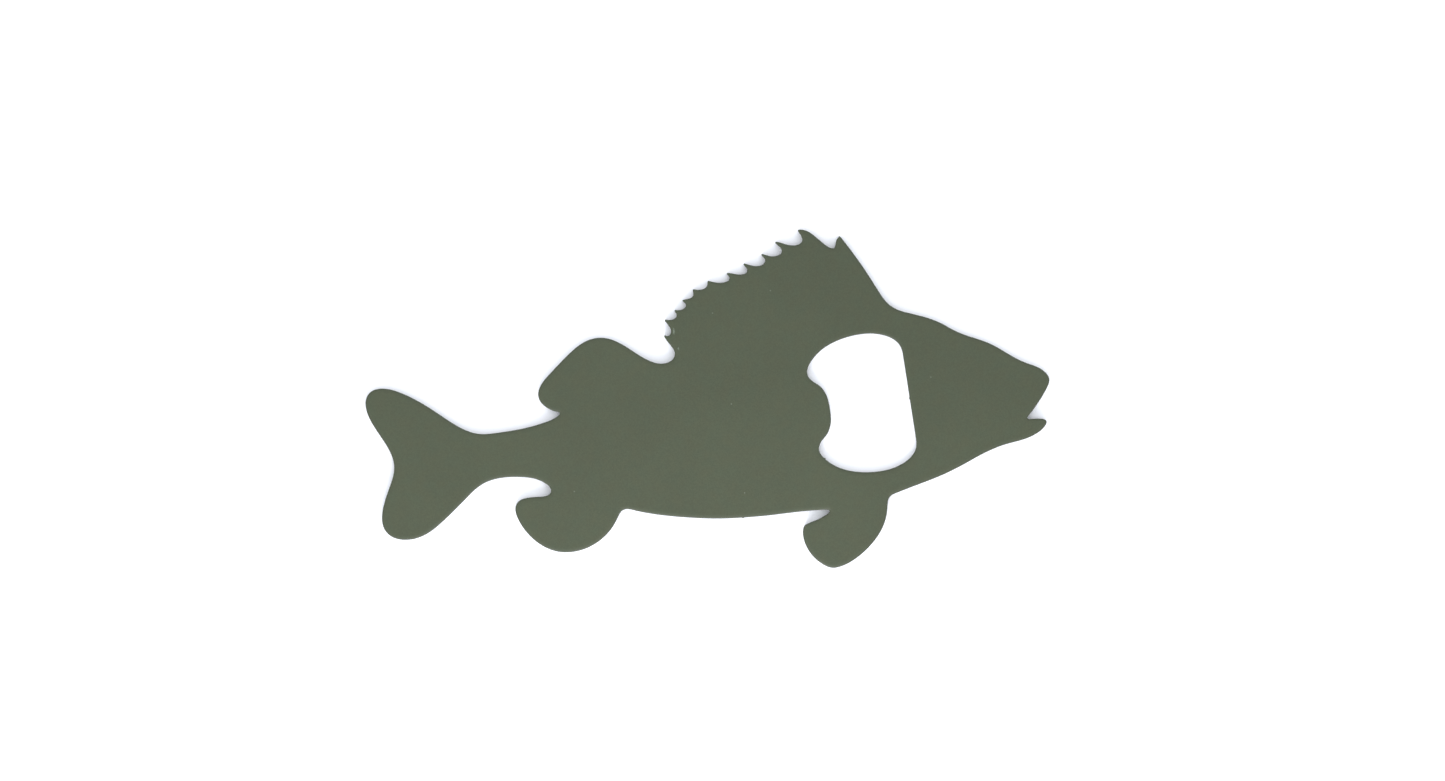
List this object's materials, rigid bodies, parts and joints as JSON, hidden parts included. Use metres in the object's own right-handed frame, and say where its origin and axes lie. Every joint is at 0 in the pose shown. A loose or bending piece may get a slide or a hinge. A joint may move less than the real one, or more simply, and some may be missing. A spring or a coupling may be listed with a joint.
{
  "type": "flat bottle opener",
  "caption": "Flat powder-coated steel bottle opener cut to the outline of a spiny-finned fish, with a crown-cap opening through the shoulder behind the head.",
  "frame": {"origin": "middle of the outline's length and height, on the back face that the plate rests on", "axes": "+X towards the snout, +Y towards the spiny back fin, +Z out of the front face"},
  "size_m": [0.165, 0.0816, 0.0025],
  "materials": {
    "olive_powder_coat": "matt olive-green powder coat"
  },
  "bodies": {
    "root": {"opener_plate": "olive_powder_coat"}
  },
  "joints": []
}
